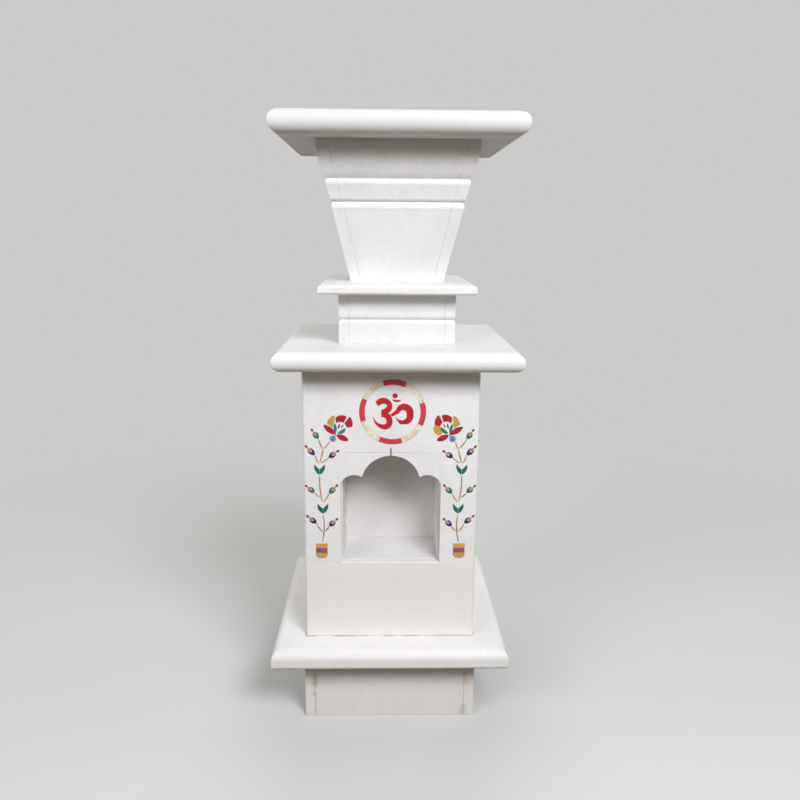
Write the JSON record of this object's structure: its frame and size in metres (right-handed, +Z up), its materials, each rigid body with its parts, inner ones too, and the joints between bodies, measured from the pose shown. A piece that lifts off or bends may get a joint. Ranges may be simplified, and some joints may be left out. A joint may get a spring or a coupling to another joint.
{
  "type": "tulsi vrindavan planter",
  "caption": "Free-standing pedestal planter of white marble slabs with a square tapered pot, a cusped lamp niche, an inlaid sign medallion and inlaid flower vines.",
  "frame": {"origin": "on the floor, under the middle of the whole planter's outline", "axes": "+Z up, the front face with the niche looks along -Y, +X to the viewer's right"},
  "size_m": [0.424, 0.416, 1.058],
  "materials": {
    "white_marble": "polished white marble with faint grey mottling",
    "inlay_vermilion": "polished red stone let in flush",
    "inlay_crimson": "polished crimson stone let in flush",
    "inlay_shell": "polished cream shell let in flush",
    "inlay_ochre": "polished ochre stone let in flush",
    "inlay_purple_brown": "polished purple-brown stone let in flush",
    "inlay_golden_tan": "polished golden tan stone let in flush",
    "inlay_green": "polished green stone let in flush",
    "inlay_blue": "polished deep blue stone let in flush",
    "inlay_amber": "polished amber stone let in flush",
    "inlay_red_brown": "polished red-brown stone let in flush",
    "inlay_olive_yellow": "polished olive-yellow stone let in flush",
    "inlay_pale_blue": "polished pale blue stone let in flush"
  },
  "bodies": {
    "base": {"plinth_left": "white_marble", "plinth_right": "white_marble", "plinth_front": "white_marble", "plinth_back": "white_marble", "base_slab": "white_marble"},
    "niche_section": {"body_left": "white_marble", "body_right": "white_marble", "body_back": "white_marble", "front_lower": "white_marble", "front_upper": "white_marble", "spandrel_right": "white_marble", "spandrel_left": "white_marble", "niche_floor": "white_marble", "niche_ceiling": "white_marble", "niche_left": "white_marble", "niche_right": "white_marble", "niche_back": "white_marble", "om_sign": "inlay_vermilion", "medallion_red": "inlay_crimson", "medallion_shell": "inlay_shell", "vases": "inlay_ochre", "vase_bands": "inlay_purple_brown", "stems": "inlay_golden_tan", "leaves": "inlay_green", "bud_cups_blue": "inlay_blue", "bud_cups_green": "inlay_green", "bud_flames": "inlay_amber", "bud_tips": "inlay_red_brown", "petals_red": "inlay_vermilion", "petals_ochre": "inlay_olive_yellow", "sepals": "inlay_crimson", "flower_greens": "inlay_green", "heart_stripes": "inlay_crimson", "flower_hearts": "inlay_shell", "flower_cups": "inlay_pale_blue"},
    "planter_section": {"mid_slab": "white_marble", "neck_left": "white_marble", "neck_right": "white_marble", "neck_front": "white_marble", "neck_back": "white_marble", "pot_floor": "white_marble", "pot_left": "white_marble", "pot_right": "white_marble", "pot_front": "white_marble", "pot_back": "white_marble", "rim_slab": "white_marble"}
  },
  "joints": [
    {"name": "niche_section_lift", "type": "slide", "parent": "base", "child": "niche_section", "axis": [0, 0, 1], "range_m": [0, 0.15]},
    {"name": "planter_section_lift", "type": "slide", "parent": "niche_section", "child": "planter_section", "axis": [0, 0, 1], "range_m": [0, 0.15]}
  ]
}
